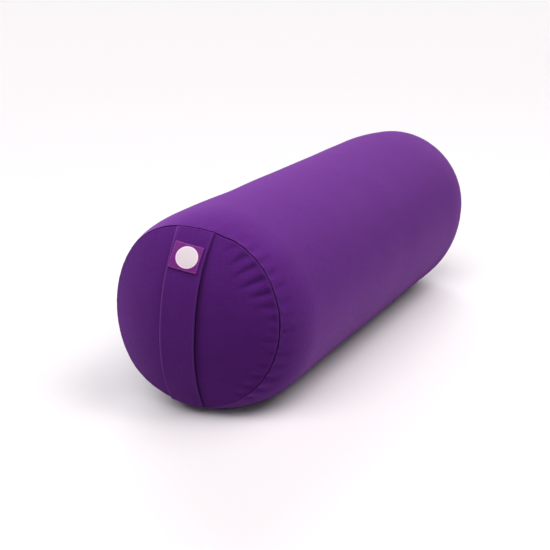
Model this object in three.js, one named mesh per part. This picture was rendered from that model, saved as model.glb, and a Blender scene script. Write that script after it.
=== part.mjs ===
// Round yoga bolster: a firmly filled cloth tube with a crowned round panel sewn in at each end,
// and a flat cloth carry handle with a woven label across one of the panels.
// Millimetres, +Z up, origin on the floor under the middle. The tube lies along Y, handle towards -Y.
// Angles round the tube start at +X and turn towards +Z.
import * as THREE from 'three';

// Tube
const RADIUS = 115; // half its width
const SQUASH = 0.985; // its height as a share of its width, before the floor flattens it
const SEAM_TO_SEAM = 620;
const SHOULDER_POWER = 2.33;

// Resting on the floor
const FLOOR_PRESS = 4; // how deep the round underside is pressed flat
const FLOOR_ROUNDING = 6; // height over which the side curves out of the flat strip

// The two sewn ends. facing: its direction along Y. seam: the seam's radius. shoulder: the length of
// tube drawn in to the seam. crown: how far the panel swells out of the seam. rise: how far the
// seam's middle sits above the tube's, since the floor holds the underside back. leanSide and
// leanUp: how far the seam's plane moves along Y for each millimetre across and up. uneven: 1 where
// the handle and the puckers pull the seam out of round.
const HANDLE_END = {
  facing: -1, seam: 102, shoulder: 62, crown: 29.5, rise: 6.1, leanSide: 0.025, leanUp: -0.027, uneven: 1,
};
const PLAIN_END = {
  facing: 1, seam: 104.5, shoulder: 77, crown: 27, rise: 6.4, leanSide: 0, leanUp: 0, uneven: 0,
};
const CROWN_POWER = 2.3;
const LEAN_FADE = 200; // length of tube over which a seam's lean dies away

// The handle end's seam is narrower than it is tall, and the handle draws it down at the top
const SEAM_NARROWING = 0.048;
const SEAM_SKEW = 0.02;
const SEAM_TRIANGLE = 0.008;
const HANDLE_PULL = 9.4;
const HANDLE_PULL_ARC = 25; // degrees

// Seam groove and cloth
const GROOVE_DEPTH = 1.4;
const GROOVE_WIDTH = 3.5;
const PANEL_CLOTH = 1.5;
const GAP = 0.3;

// Puckers, where the filling swells between the seam's stitches: the angle at the seam, how many
// degrees it leans on its way inward, its half width in degrees, how far it reaches into the panel,
// and its depth in the panel and in the tube
const PUCKERS = [
  { angle: 60, lean: 3, halfWidth: 2.5, reach: 18, panel: 1, tube: 1 },
  { angle: 50.5, lean: 4, halfWidth: 2.5, reach: 27, panel: 1.9, tube: 1.5 },
  { angle: 42, lean: 4, halfWidth: 2.5, reach: 32, panel: 2.2, tube: 1.7 },
  { angle: 33.5, lean: 2, halfWidth: 2.4, reach: 34, panel: 2.9, tube: 1.8 },
  { angle: 24.5, lean: 1, halfWidth: 2.4, reach: 28, panel: 3, tube: 1.9 },
  { angle: 15, lean: 1, halfWidth: 2.5, reach: 24, panel: 2.4, tube: 1.6 },
  { angle: 6.5, lean: 0, halfWidth: 2.5, reach: 18, panel: 1.7, tube: 1.3 },
  { angle: -3.5, lean: 0, halfWidth: 2.3, reach: 12, panel: 1, tube: 1.8 },
  { angle: -9.5, lean: -2, halfWidth: 2.3, reach: 24, panel: 1.5, tube: 0.9 },
  { angle: -19.5, lean: -2, halfWidth: 2.8, reach: 16, panel: 1.9, tube: 2.6 },
  { angle: -29, lean: -3, halfWidth: 2.9, reach: 20, panel: 2.2, tube: 2.7 },
  { angle: -39, lean: -3, halfWidth: 3.1, reach: 18, panel: 2.4, tube: 3 },
  { angle: -48.5, lean: -4, halfWidth: 3.1, reach: 20, panel: 1.9, tube: 2.8 },
  { angle: -58.5, lean: -3, halfWidth: 2.8, reach: 16, panel: 1.2, tube: 1.8 },
];
const PUCKER_START = 1.6; // how far from the stitches they begin
const PUCKER_TUBE_LEAN = 3; // degrees they lean upwards on their way along the tube
const PUCKER_TUBE_REACH = 22;

// Carry handle: a folded strip of the same cloth, sewn into the seam at the top and the bottom
const HANDLE_WIDTH = 39.7;
const HANDLE_CLOTH = 2;
const HANDLE_ASIDE = -3.5; // its middle line, sideways from the tube's
const HANDLE_LEAN = 4.9; // degrees, the top leans towards +X
const HANDLE_STAND_OFF = 2.2; // slack at its middle height
const HANDLE_STIFFNESS = 0.9; // 0 hugs the crowned panel, 1 is straight across
const HANDLE_REACH = 0.998; // how much of the way to the seam it covers
const HANDLE_PRESSED = 0.5; // how much of its thickness the seam's stitches press out
const HANDLE_PRESSED_REACH = 10;

// Label sewn to the handle near its top
const LABEL_WIDTH = 33;
const LABEL_HEIGHT = 28.2;
const LABEL_CLOTH = 1;
const LABEL_UP = 69.1; // its middle, along the handle from the middle of the seam
const LABEL_TURN = -3.3; // degrees
const LABEL_ASIDE = -0.5; // from the handle's middle line

// Directions round the tube: close together where the puckers are, and even about the middle of the
// flat underside
const ARCS = [
  { from: -62, to: 75, steps: 56 },
  { from: 75, to: 110, steps: 6 },
  { from: 110, to: 250, steps: 20 },
  { from: 250, to: 290, steps: 8 },
  { from: 290, to: 298, steps: 2 },
];
// Rings of the panels, as shares of the way from the middle to the seam
const PANEL_RINGS = [0.3, 0.55, 0.7, 0.8, 0.87, 0.93, 0.975, 1];
// Rings of the tube, as distances from the nearer seam
const TUBE_RINGS = [0, 1.6, 3.5, 7, 12, 19, 28, 39, 52, 68, 90, 135, 210];
// Bands across the handle and the label, and steps along them
const STRIP_BANDS = 6;
const HANDLE_STEPS = 34;
const LABEL_STEPS = 6;

const RAD = Math.PI / 180;
const AXIS_HEIGHT = RADIUS * SQUASH - FLOOR_PRESS;
// The handle's end is the longer one, so the tube sits off the middle to keep the origin central
const HANDLE_BUILD = GAP + HANDLE_STAND_OFF + HANDLE_CLOTH;
const CENTRING = (HANDLE_END.crown + HANDLE_BUILD - PLAIN_END.crown) / 2;
// The panel's edge lies at 45 degrees in the groove, so the gap beside it is wider along Y
const EDGE_GAP = GAP * Math.SQRT2;

const COLOURS = { cloth: '#5f2d86', label: '#84278f' };
const cloth = new THREE.MeshStandardMaterial({ color: COLOURS.cloth, roughness: 0.9, metalness: 0 });
const handleCloth = new THREE.MeshStandardMaterial({ color: COLOURS.cloth, roughness: 0.88, metalness: 0 });
const labelCloth = new THREE.MeshStandardMaterial({ color: COLOURS.label, roughness: 0.75, metalness: 0 });

function clamp(value, low, high) {
  return Math.min(Math.max(value, low), high);
}

// The smaller turn from one angle to another, in degrees
function turnBetween(a, b) {
  return ((((a - b) % 360) + 540) % 360) - 180;
}

// Where an end's seam lies along Y, at the tube's middle line
function seamY(end) {
  return (end.facing * SEAM_TO_SEAM) / 2 + CENTRING;
}

// The seam's radius at an angle, about its own middle
function seamRadius(end, angle) {
  const a = angle * RAD;
  const narrowing = SEAM_NARROWING * Math.cos(2 * a);
  const wave = SEAM_SKEW * Math.sin(2 * a) + SEAM_TRIANGLE * Math.cos(3 * a) - narrowing;
  const fromHandle = turnBetween(angle, 90 - HANDLE_LEAN) / HANDLE_PULL_ARC;
  const pull = HANDLE_PULL * Math.exp(-fromHandle * fromHandle);
  return end.seam * (1 + end.uneven * wave) - end.uneven * pull;
}

// How far the leaning seam plane moves a place in the cross-section along Y
function seamLean(end, x, z) {
  return end.leanSide * x + end.leanUp * z;
}

// A soft trough with low ridges beside it: 1 on its line, a little below 0 beside it
function trough(distance, halfWidth) {
  const q = distance / halfWidth;
  return (1 - 0.9 * q * q) * Math.exp(-q * q);
}

// The sum of the puckers at one angle, a distance away from the seam on the panel or the tube.
// Each is nothing near the stitches, deepest a third of the way along its reach, and dies away.
function puckerDepth(end, angle, away, side) {
  let depth = 0;
  for (const pucker of PUCKERS) {
    const reach = side === 'panel' ? pucker.reach : PUCKER_TUBE_REACH;
    const share = clamp((away - PUCKER_START) / (reach - PUCKER_START), 0, 1);
    const lean = share * (side === 'panel' ? pucker.lean : PUCKER_TUBE_LEAN);
    const fade = 4.19 * share ** 0.75 * (1 - share) ** 1.5;
    const fromLine = turnBetween(angle, pucker.angle + lean);
    depth += pucker[side] * fade * trough(fromLine, pucker.halfWidth);
  }
  return depth * end.uneven;
}

// How far a face has turned down into the groove, from its distance to the seam
function grooveShare(away) {
  return clamp(1 - away / GROOVE_WIDTH, 0, 1) ** 2;
}

// Lets the underside settle on the floor: below it everything is flat, and just above it is rounded
function settle(height) {
  const t = clamp(height / FLOOR_ROUNDING, 0, 1);
  return height > FLOOR_ROUNDING ? height : FLOOR_ROUNDING * t * t * (2 - t);
}

// A point of the settled bolster, from a place in the round cross-section about the tube's middle
function settledPoint(x, y, z) {
  return new THREE.Vector3(x, y, settle(AXIS_HEIGHT + SQUASH * z));
}

// The tube's side, a distance away from an end's seam: round, drawn in over the shoulder to the
// seam, where the cloth turns down into the groove
function tubePoint(end, angle, away) {
  const [c, s] = [Math.cos(angle * RAD), Math.sin(angle * RAD)];
  const drawnIn = clamp(1 - away / end.shoulder, 0, 1) ** SHOULDER_POWER;
  const seam = seamRadius(end, angle);
  const lip = grooveShare(away);
  const sink = lip * GROOVE_DEPTH + puckerDepth(end, angle, away, 'tube');
  const radius = RADIUS * (1 - drawnIn) + seam * drawnIn - sink;
  const lean = seamLean(end, seam * c, seam * s + end.rise) * clamp(1 - away / LEAN_FADE, 0, 1);
  const y = seamY(end) + lean - end.facing * (away + lip * (GROOVE_DEPTH + EDGE_GAP));
  return settledPoint(radius * c, y, radius * s + end.rise * drawnIn);
}

// A panel's outer face, sunk by a depth at right angles to it; share runs from 0 at the middle of
// the crown to 1 at the seam
function panelPoint(end, angle, share, depth) {
  const [c, s] = [Math.cos(angle * RAD), Math.sin(angle * RAD)];
  const seam = seamRadius(end, angle);
  const away = (1 - share) * seam;
  const lip = grooveShare(away) * GROOVE_DEPTH;
  const sink = depth + puckerDepth(end, angle, away, 'panel');
  const slope = (Math.PI / 4) * share ** 1.5;
  const radius = share * seam - lip - sink * Math.sin(slope);
  const crown = end.crown * (1 - share ** CROWN_POWER);
  const [x, z] = [radius * c, radius * s + end.rise];
  const y = seamY(end) + seamLean(end, x, z) + end.facing * (crown - lip - sink * Math.cos(slope));
  return settledPoint(x, y, z);
}

// All directions round the tube, once round
const ANGLES = ARCS.flatMap((arc) => {
  const stride = (arc.to - arc.from) / arc.steps;
  return Array.from({ length: arc.steps }, (_, i) => arc.from + i * stride);
});

function tubeRing(end, away) {
  return ANGLES.map((angle) => tubePoint(end, angle, away));
}

function panelRing(end, share, depth) {
  return ANGLES.map((angle) => panelPoint(end, angle, share, depth));
}

// The body's face under a panel, with a gap below the cloth and beside the cloth's edge
function underPanelRing(end, share) {
  return ANGLES.map((angle) => {
    const point = panelPoint(end, angle, share, PANEL_CLOTH + GAP);
    point.y -= end.facing * EDGE_GAP * grooveShare((1 - share) * seamRadius(end, angle));
    return point;
  });
}

// A closed surface through rings of equal length, from one single point to another. Each four-sided
// stretch is split along its shorter diagonal, so that faces one cloth apart are split alike.
function closedSurface(rings) {
  const positions = rings.flat().flatMap((point) => point.toArray());
  const corner = (index) => new THREE.Vector3().fromArray(positions, 3 * index);
  const starts = rings.map((_, i) => rings.slice(0, i).flat().length);
  const count = Math.max(...rings.map((ring) => ring.length));
  const at = (i, j) => starts[i] + (rings[i].length === 1 ? 0 : j % count);
  const faces = [];
  for (let i = 0; i + 1 < rings.length; i += 1) {
    for (let j = 0; j < count; j += 1) {
      const [a, b, c, d] = [at(i, j), at(i, j + 1), at(i + 1, j), at(i + 1, j + 1)];
      if (a === b) {
        faces.push([a, d, c]);
      } else if (c === d) {
        faces.push([a, b, d]);
      } else if (corner(a).distanceTo(corner(d)) <= corner(b).distanceTo(corner(c))) {
        faces.push([a, b, d], [a, d, c]);
      } else {
        faces.push([a, b, c], [b, d, c]);
      }
    }
  }
  const volume = faces.reduce((sum, [a, b, c]) => sum + corner(a).dot(corner(b).cross(corner(c))), 0);
  const outward = volume < 0 ? faces.map(([a, b, c]) => [a, c, b]) : faces;
  const geometry = new THREE.BufferGeometry();
  geometry.setAttribute('position', new THREE.Float32BufferAttribute(positions, 3));
  geometry.setIndex(outward.flat());
  geometry.computeVertexNormals();
  return geometry;
}

// The filled body: from the middle of one crowned end, under its panel, round the groove's lip,
// along the tube and back under the other panel
function filledBody() {
  const halfOf = (end) => [
    [panelPoint(end, 0, 0, PANEL_CLOTH + GAP)],
    ...PANEL_RINGS.map((share) => underPanelRing(end, share)),
    ...TUBE_RINGS.map((away) => tubeRing(end, away)),
  ];
  return closedSurface([...halfOf(HANDLE_END), ...halfOf(PLAIN_END).reverse()]);
}

// An end panel: one thickness of cloth over the crowned end
function endPanel(end) {
  const outer = PANEL_RINGS.map((share) => panelRing(end, share, 0));
  const inner = PANEL_RINGS.map((share) => panelRing(end, share, PANEL_CLOTH));
  return closedSurface([
    [panelPoint(end, 0, 0, 0)],
    ...outer,
    ...inner.reverse(),
    [panelPoint(end, 0, 0, PANEL_CLOTH)],
  ]);
}

// A place in the seam's plane, from one sideways and one up along the leaning handle
function besideHandle(sideways, up) {
  const [c, s] = [Math.cos(HANDLE_LEAN * RAD), Math.sin(HANDLE_LEAN * RAD)];
  const [x, z] = [sideways * c + up * s, up * c - sideways * s];
  return { angle: Math.atan2(z, x) / RAD, radius: Math.hypot(x, z) };
}

// How far the handle's thread at one place sideways runs from the seam's middle to the uneven seam,
// upwards or downwards
function threadLength(sideways, direction) {
  let length = HANDLE_END.seam;
  for (let i = 0; i < 8; i += 1) {
    const { angle, radius } = besideHandle(sideways, direction * length);
    length += seamRadius(HANDLE_END, angle) - radius;
  }
  return length;
}

// A point on the handle: across in millimetres from its middle line, along from -1 at the bottom
// seam to 1 at the top seam, and raised over its underside. The handle hugs the panel at the seam
// and stands off it, straighter across, towards the middle.
function handlePoint(across, along, raised) {
  const onPanel = (sideways) => {
    const up = along * threadLength(sideways, Math.sign(along) || 1);
    const { angle, radius } = besideHandle(sideways, up);
    return { angle, share: clamp(radius / seamRadius(HANDLE_END, angle), 0, 1) };
  };
  const here = onPanel(across + HANDLE_ASIDE);
  const middle = onPanel(HANDLE_ASIDE);
  const fall = (place) => HANDLE_END.crown * place.share ** CROWN_POWER;
  const bow = 1 - along * along;
  const fallAway = Math.max(fall(here) - fall(middle), 0);
  const clear = GAP + bow * (HANDLE_STAND_OFF + HANDLE_STIFFNESS * fallAway);
  const fromSeam = (1 - Math.abs(along)) * HANDLE_END.seam;
  const pressed = HANDLE_PRESSED * clamp(1 - fromSeam / HANDLE_PRESSED_REACH, 0, 1) ** 2;
  return panelPoint(HANDLE_END, here.angle, here.share, -(clear + raised * (1 - pressed)));
}

// The outline of a flat strip's cross-section with rounded edges
function stripOutline(width, thickness) {
  const inner = width / 2 - thickness * 0.4;
  const acrosses = Array.from({ length: STRIP_BANDS + 1 }, (_, i) => inner * ((2 * i) / STRIP_BANDS - 1));
  return [
    ...acrosses.map((across) => ({ across, raised: 0 })),
    { across: width / 2, raised: thickness / 2 },
    ...acrosses.toReversed().map((across) => ({ across, raised: thickness })),
    { across: -width / 2, raised: thickness / 2 },
  ];
}

// A strip through its cross-sections, closed at both ends
function closedStrip(sections) {
  const middleOf = (ring) => {
    const sum = ring.reduce((total, point) => total.add(point), new THREE.Vector3());
    return [sum.divideScalar(ring.length)];
  };
  return closedSurface([middleOf(sections[0]), ...sections, middleOf(sections.at(-1))]);
}

function carryHandle() {
  const outline = stripOutline(HANDLE_WIDTH, HANDLE_CLOTH);
  const sections = [];
  for (let i = 0; i <= HANDLE_STEPS; i += 1) {
    const along = HANDLE_REACH * Math.sin((i / HANDLE_STEPS - 0.5) * Math.PI);
    sections.push(outline.map((corner) => handlePoint(corner.across, along, corner.raised)));
  }
  return closedStrip(sections);
}

function labelPatch() {
  const outline = stripOutline(LABEL_WIDTH, LABEL_CLOTH);
  const [c, s] = [Math.cos(LABEL_TURN * RAD), Math.sin(LABEL_TURN * RAD)];
  const base = HANDLE_CLOTH + GAP;
  const onHandle = (across, up, raised) => {
    const length = threadLength(across + HANDLE_ASIDE, 1);
    return handlePoint(across, up / length, base + raised);
  };
  // the handle slopes back here, so a millimetre along it is less than one upwards
  const edges = [-0.5, 0.5].map((side) => onHandle(0, LABEL_UP + side * LABEL_HEIGHT, 0));
  const slope = LABEL_HEIGHT / edges[0].distanceTo(edges[1]);
  const sections = [];
  for (let i = 0; i <= LABEL_STEPS; i += 1) {
    const rise = LABEL_HEIGHT * (i / LABEL_STEPS - 0.5);
    sections.push(outline.map((corner) => {
      const across = LABEL_ASIDE + corner.across * c - rise * s;
      const up = LABEL_UP + (corner.across * s + rise * c) * slope;
      return onHandle(across, up, corner.raised);
    }));
  }
  return closedStrip(sections);
}

function piece(name, geometry, material) {
  const mesh = new THREE.Mesh(geometry, material);
  mesh.name = name;
  return mesh;
}

const bolster = new THREE.Group();
bolster.add(
  piece('filled_tube', filledBody(), cloth),
  piece('end_panel_handle_side', endPanel(HANDLE_END), cloth),
  piece('end_panel_plain_side', endPanel(PLAIN_END), cloth),
  piece('carry_handle', carryHandle(), handleCloth),
  piece('handle_label', labelPatch(), labelCloth),
);

export default bolster;
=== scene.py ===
"""Round yoga bolster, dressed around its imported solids.

Shapes are worked out in millimetres in the solids' own frame, +Z up, the tube along Y and the
handle towards -Y, and are turned to metres when they become meshes. Angles round the tube are in
degrees, start at +X and turn towards +Z.
"""
import itertools
import math

import bmesh
import bpy
import numpy as np
from mathutils import Matrix, Vector


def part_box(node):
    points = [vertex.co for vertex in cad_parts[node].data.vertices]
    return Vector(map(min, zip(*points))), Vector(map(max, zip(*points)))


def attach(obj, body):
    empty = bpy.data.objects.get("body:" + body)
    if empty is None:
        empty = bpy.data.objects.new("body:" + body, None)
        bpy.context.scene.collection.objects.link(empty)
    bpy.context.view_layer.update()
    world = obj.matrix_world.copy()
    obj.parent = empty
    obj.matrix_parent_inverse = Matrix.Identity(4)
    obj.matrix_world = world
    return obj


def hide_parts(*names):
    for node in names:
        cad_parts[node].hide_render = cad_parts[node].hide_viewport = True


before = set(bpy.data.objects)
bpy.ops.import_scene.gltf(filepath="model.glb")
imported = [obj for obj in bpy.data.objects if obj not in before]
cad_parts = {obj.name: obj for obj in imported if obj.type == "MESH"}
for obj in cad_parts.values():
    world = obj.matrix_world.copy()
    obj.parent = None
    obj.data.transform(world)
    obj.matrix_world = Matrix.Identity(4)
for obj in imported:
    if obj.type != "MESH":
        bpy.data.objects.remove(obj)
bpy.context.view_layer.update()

MM = 0.001

# Camera, from the photo's outline, end seam and handle edges
PHOTO_SIDE = 550  # pixels
FOCAL = 1157.75  # pixels
SENSOR = 36.0  # mm
AZIMUTH = 25.476  # degrees, 0 looks along +Y
ELEVATION = 16.596
TARGET = (0.0, 0.6, 111.0)
DISTANCE = 1494.54
ASIDE = 48.04  # how far the camera moves left of the line to the target
DOWN = 31.84  # and how far below it

# Tube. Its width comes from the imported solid.
tube_low, tube_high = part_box("filled_tube")
RADIUS = (tube_high.x - tube_low.x) / 2 / MM
SQUASH = 0.985  # its height as a share of its width, before the floor flattens it
SEAM_TO_SEAM = 620.0
SHOULDER_POWER = 2.33
FLOOR_PRESS = 4.0  # how deep the round underside is pressed flat
FLOOR_ROUNDING = 6.0
FLANK_BULGE = 1.3  # how far the weight pushes the filling out, low on both sides
FLANK_PLACE = 50.0  # degrees from straight down
FLANK_ARC = 24.0  # degrees
AXIS_HEIGHT = RADIUS * SQUASH - FLOOR_PRESS

# The two sewn ends, as in the solids. facing: direction along Y. seam: the seam's radius.
# shoulder: length of tube drawn in to it. crown: how far the panel swells out. rise: how far the
# seam's middle sits above the tube's. lean_side, lean_up: slant of the seam's plane. uneven: 1
# where the handle and the puckers pull the seam out of round. puckered: the turns at which the
# set of puckers is used, and 1 or -1 for the way it runs. panel, tube: share of their depth.
HANDLE_END = {
    "facing": -1, "seam": 102.0, "shoulder": 62.0, "crown": 29.5, "rise": 6.1,
    "lean_side": 0.025, "lean_up": -0.027, "uneven": 1.0,
    "puckered": [(0.0, 1)], "panel": 1.0, "tube": 1.0,
}
PLAIN_END = {
    "facing": 1, "seam": 104.5, "shoulder": 77.0, "crown": 27.0, "rise": 6.4,
    "lean_side": 0.0, "lean_up": 0.0, "uneven": 0.0,
    "puckered": [(150.0, 1), (330.0, -1)], "panel": 0.8, "tube": 0.45,
}
CROWN_POWER = 2.3
CROWN_RIM_SLOPE = 45.0  # degrees, of the panel's face at the seam
CROWN_SLOPE_POWER = 1.5
LEAN_FADE = 200.0  # how far along the tube the slant of the seam dies away
SEAM_NARROWING = 0.048  # shares of the seam's radius that make it oval, skewed and three-sided
SEAM_SKEW = 0.02
SEAM_TRIANGLE = 0.008
HANDLE_PULL = 9.4  # how far the handle pulls the seam in
HANDLE_PULL_ARC = 25.0  # degrees
# How far the stitches wander inwards from that smooth curve, from puckers pulled in while sewing
WANDER = [
    (-180.0, -0.9), (-165.0, -1.1), (-150.0, -1.6), (-138.0, -2.0), (-128.0, -1.0), (-115.0, 0.8),
    (-105.0, 1.5), (-100.0, 1.4), (-88.0, 0.3), (-60.0, 0.0), (-40.0, -0.6), (-15.0, -0.1),
    (0.0, 0.5), (9.0, 0.2), (18.0, 1.0), (33.0, 1.1), (42.0, 1.2), (50.0, 1.6), (61.0, 0.7),
    (69.0, 1.2), (75.0, -0.3), (85.0, -0.9), (115.0, -0.2), (135.0, -0.9), (155.0, -0.8),
    (180.0, -0.9),
]  # angle in degrees, mm inwards

# Seam groove: two rolled lips of cloth drawn together by the stitches
GROOVE_DEPTH = 2.8
GROOVE_WIDTH = 1.1
PRESSED_ARC = (24.0, 54.0)  # degrees from straight down: pressed together before, open after
PRESSED_GROOVE = 0.3  # what is left of the groove where the weight presses its lips together
PANEL_CLOTH = 1.5
GAP = 0.3  # between pieces that lie on each other
EDGE_GAP = GAP * math.sqrt(2)  # along the tube, where their lips run in at 45 degrees
CREASE_WIDTH = 0.5  # how far from the stitches no light gets between the lips, which the colour shows as painted shade
SEAM_ALLOWANCE_RIDGE = 0.16  # height of the fold over the turned-in edge, beside the panel's lip
SEAM_ALLOWANCE_PLACE = 2.0  # its distance from the stitches
SEAM_ALLOWANCE_WIDTH = 0.7
SEAM_PAINTED_HIGHLIGHT = 0.06  # how strongly a painted highlight lightens that fold
SEAM_HIGHLIGHT_REACH = (-48.0, 66.0)  # angles between which the fold gets the painted highlight
SEAM_HIGHLIGHT_FADE = 12.0  # degrees over which that begins and ends

# Puckers between the stitches: angle at the seam, degrees they lean on their way inward, half
# width in degrees, reach into the panel, depth in the panel and in the tube
PUCKERS = [
    {"angle": 60.0, "lean": 3.0, "half_width": 2.5, "reach": 18.0, "panel": 1.0, "tube": 1.0},
    {"angle": 50.5, "lean": 4.0, "half_width": 2.4, "reach": 27.0, "panel": 1.7, "tube": 1.5},
    {"angle": 42.0, "lean": 4.0, "half_width": 2.4, "reach": 32.0, "panel": 1.9, "tube": 1.7},
    {"angle": 33.5, "lean": 2.0, "half_width": 2.3, "reach": 34.0, "panel": 2.9, "tube": 1.8},
    {"angle": 24.5, "lean": 1.0, "half_width": 2.3, "reach": 28.0, "panel": 3.0, "tube": 1.9},
    {"angle": 15.0, "lean": 1.0, "half_width": 2.4, "reach": 24.0, "panel": 2.0, "tube": 1.6},
    {"angle": 6.5, "lean": 0.0, "half_width": 2.5, "reach": 18.0, "panel": 1.5, "tube": 1.3},
    {"angle": -3.5, "lean": 0.0, "half_width": 2.3, "reach": 12.0, "panel": 1.0, "tube": 2.2},
    {"angle": -9.5, "lean": -2.0, "half_width": 2.3, "reach": 24.0, "panel": 1.7, "tube": 0.9},
    {"angle": -18.5, "lean": -2.0, "half_width": 2.6, "reach": 16.0, "panel": 1.6, "tube": 2.6},
    {"angle": -27.5, "lean": -3.0, "half_width": 2.8, "reach": 20.0, "panel": 1.7, "tube": 2.3},
    {"angle": -37.5, "lean": -3.0, "half_width": 2.8, "reach": 18.0, "panel": 2.0, "tube": 2.8},
    {"angle": -47.5, "lean": -4.0, "half_width": 2.8, "reach": 20.0, "panel": 1.5, "tube": 2.4},
    {"angle": -57.0, "lean": -3.0, "half_width": 2.8, "reach": 16.0, "panel": 1.0, "tube": 1.6},
]
PUCKER_STEEP = 0.8  # width of a pucker's steep wall, as a share of its half width
PUCKER_GENTLE = 1.5  # and of its gentle one, which is the lower one above the seam's middle
PUCKER_START = 1.6  # how far from the stitches they begin
PUCKER_FADE = 3.49  # makes a pucker's deepest place as deep as it says
PUCKER_TUBE_LEAN = 3.0  # degrees they lean upwards on their way along the tube
PUCKER_TUBE_REACH = 22.0

# Fine gathers all round both seams: waves round the seam, depth and where each wave starts
GATHERS = [
    {"waves": 47, "depth": 0.16, "start": 20.0},
    {"waves": 71, "depth": 0.12, "start": 75.0},
    {"waves": 103, "depth": 0.07, "start": 140.0},
]
GATHER_REACH = 13.0

# Broad unevenness of the filling under the tube's cloth: waves round the tube, wave length along
# it, depth, and the phases of both
LUMPS = [
    {"round": 2, "along": 260.0, "depth": 0.25, "phase": (0.4, 1.1)},
    {"round": 3, "along": 170.0, "depth": 0.2, "phase": (2.0, 0.3)},
    {"round": 5, "along": 120.0, "depth": 0.15, "phase": (4.1, 2.2)},
    {"round": 4, "along": 90.0, "depth": 0.1, "phase": (1.2, 5.0)},
]
# One place near the plain end where the filling is fuller
FULL_PLACE = {"angle": 125.0, "arc": 55.0, "y": 220.0, "reach": 110.0, "height": 1.2}

# Carry handle: a folded strip of the same cloth, sewn into the seam at the top and the bottom
HANDLE_WIDTH = 39.7
HANDLE_CLOTH = 2.0
HANDLE_ASIDE = -3.5
HANDLE_LEAN = 4.9  # degrees, the top leans towards +X
HANDLE_STAND_OFF = 2.2  # from the panel, at its middle
HANDLE_STIFFNESS = 0.9  # 1 would keep it straight across there, 0 would bend it as the crown bends
HANDLE_REACH = 0.998  # share of the way to the stitches that it goes
HANDLE_PRESSED = 0.5  # share of its thickness that it loses in the seam
HANDLE_PRESSED_REACH = 10.0
HANDLE_LENGTH = 222.0  # along its bowed middle line
HANDLE_LIT_FROM = 0.75  # share of its thickness where painted shade on its edges ends and their painted highlight begins
HANDLE_FOLD_RISE = 0.25  # how much thicker its folded edges are
HANDLE_FOLD_WIDTH = 1.4
HANDLE_HIGHLIGHT_LEFT = 0.4  # how strongly a painted highlight lightens the left fold
HANDLE_HIGHLIGHT_RIGHT = 0.1
HANDLE_SPREAD = 0.09  # how much wider it lies at the top seam, as a share
HANDLE_SPREAD_START = 0.55  # share of its upper half where that begins
HANDLE_SHADE = 0.8  # width over which the painted shade under its edges ends
HANDLE_BUILD = GAP + HANDLE_STAND_OFF + HANDLE_CLOTH
# How far both seams move along the tube, so that the whole bolster is centred
CENTRING = (HANDLE_END["crown"] + HANDLE_BUILD - PLAIN_END["crown"]) / 2

# Label sewn to the handle near its top, with a bare disc
LABEL_WIDTH = 33.0
LABEL_HEIGHT = 28.2
LABEL_CLOTH = 1.0
LABEL_UP = 69.1  # from the middle of the seam to the label's, along the handle
LABEL_TURN = -3.3  # degrees
LABEL_ASIDE = -0.5
DISC_WIDTH = 24.8
DISC_HEIGHT = 23.0  # the label's weave is drawn together upwards, so the woven disc is not round
DISC_ASIDE = 1.5  # from the label's middle
DISC_UP = 0.3
DISC_RIM = 1.4  # width of its brighter border

# The label's stitches: lengths of thread that lie on its face along its edge
STITCH_INSET = 0.9
STITCH_PITCH = 2.6
STITCH_LENGTH = 1.9
STITCH_THREAD = 0.42
STITCH_TIP = 0.02  # keeps both ends of a stitch from closing to a point
STITCH_ARCH = 0.25  # height of its middle over the label's face, in widths of the thread
STITCH_DIP = 0.5  # how far its ends dip below that
STITCH_ROUND = 8  # steps round the thread
STITCH_ALONG = 7

# Round panels as cut, without what is turned into the seam
PANEL_CUT = 218.0

# Cloth. A canvas thread is about 0.45 mm wide, which is under half a pixel of the render, so the
# weave and the thick places in the yarn are drawn about three times as coarse, and faint.
CANVAS_PITCH = 1.4
SLUB_LENGTH = 16.0
SLUB_WIDTH = 1.3
DYE_PATCH = 30.0
CANVAS_RELIEF = 0.5  # mm
CANVAS_DARK = "#3E1556"
CANVAS_LIGHT = "#45185F"
CANVAS_BLOOM = "#E8A6FF"
# the lighter colour of the painted highlight on folds
CANVAS_PAINTED_HIGHLIGHT = "#7C4A97"
# the colour of painted shade where no light gets in: in the seam's groove and under the handle
SEAM_SHADE = "#1C0428"
# A label thread is about 0.15 mm wide, and is drawn four times as coarse.
LABEL_THREAD = 0.6
LABEL_THREAD_LENGTH = 5.0
LABEL_RELIEF = 0.25
DISC_EDGE = 0.5  # width over which one colour gives way to the next at the disc and its border
LABEL_DARK = "#4C0A58"
LABEL_LIGHT = "#6B116D"
DISC_WHITE = "#BEB3B7"
DISC_BORDER = "#D0B6D0"
THREAD_DARK = "#702480"
THREAD_LIGHT = "#9C55AA"

# Lights. Flags in a studio keep a light off the floor or off the object, so each names what it
# falls on. They are white, apart from the one with a tint.
LIT_PLACE = (0.0, -300.0, 100.0)  # what they face
FAR_LIGHT_SPREAD = 45.0  # degrees
FAR_LIGHTS = [
    {"on": "bolster", "side": "back_right", "azimuth": 120.0, "elevation": 55.0, "strength": 2.7},
    {"on": "bolster", "side": "left_top", "azimuth": 300.0, "elevation": 55.0, "strength": 1.5},
    {"on": "bolster", "side": "low_back_left", "azimuth": 210.0, "elevation": 15.0,
     "strength": 3.85},
    {"on": "bolster", "side": "low_left", "azimuth": 270.0, "elevation": 15.0, "strength": 0.65},
    {"on": "bolster", "side": "low_front", "azimuth": 15.0, "elevation": 5.0, "strength": 0.35},
    {"on": "floor", "side": "low_front", "azimuth": 20.0, "elevation": 15.0, "strength": 0.8},
    {"on": "floor", "side": "front", "azimuth": 0.0, "elevation": 55.0, "strength": 2.6},
    {"on": "floor", "side": "back_right", "azimuth": 120.0, "elevation": 55.0, "strength": 1.42},
    {"on": "floor", "side": "low_back_left", "azimuth": 210.0, "elevation": 15.0, "strength": 5.09},
]
NEAR_LAMP_SIZE = 1.0  # m
NEAR_LAMP_DISTANCE = 1.7  # m
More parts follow.
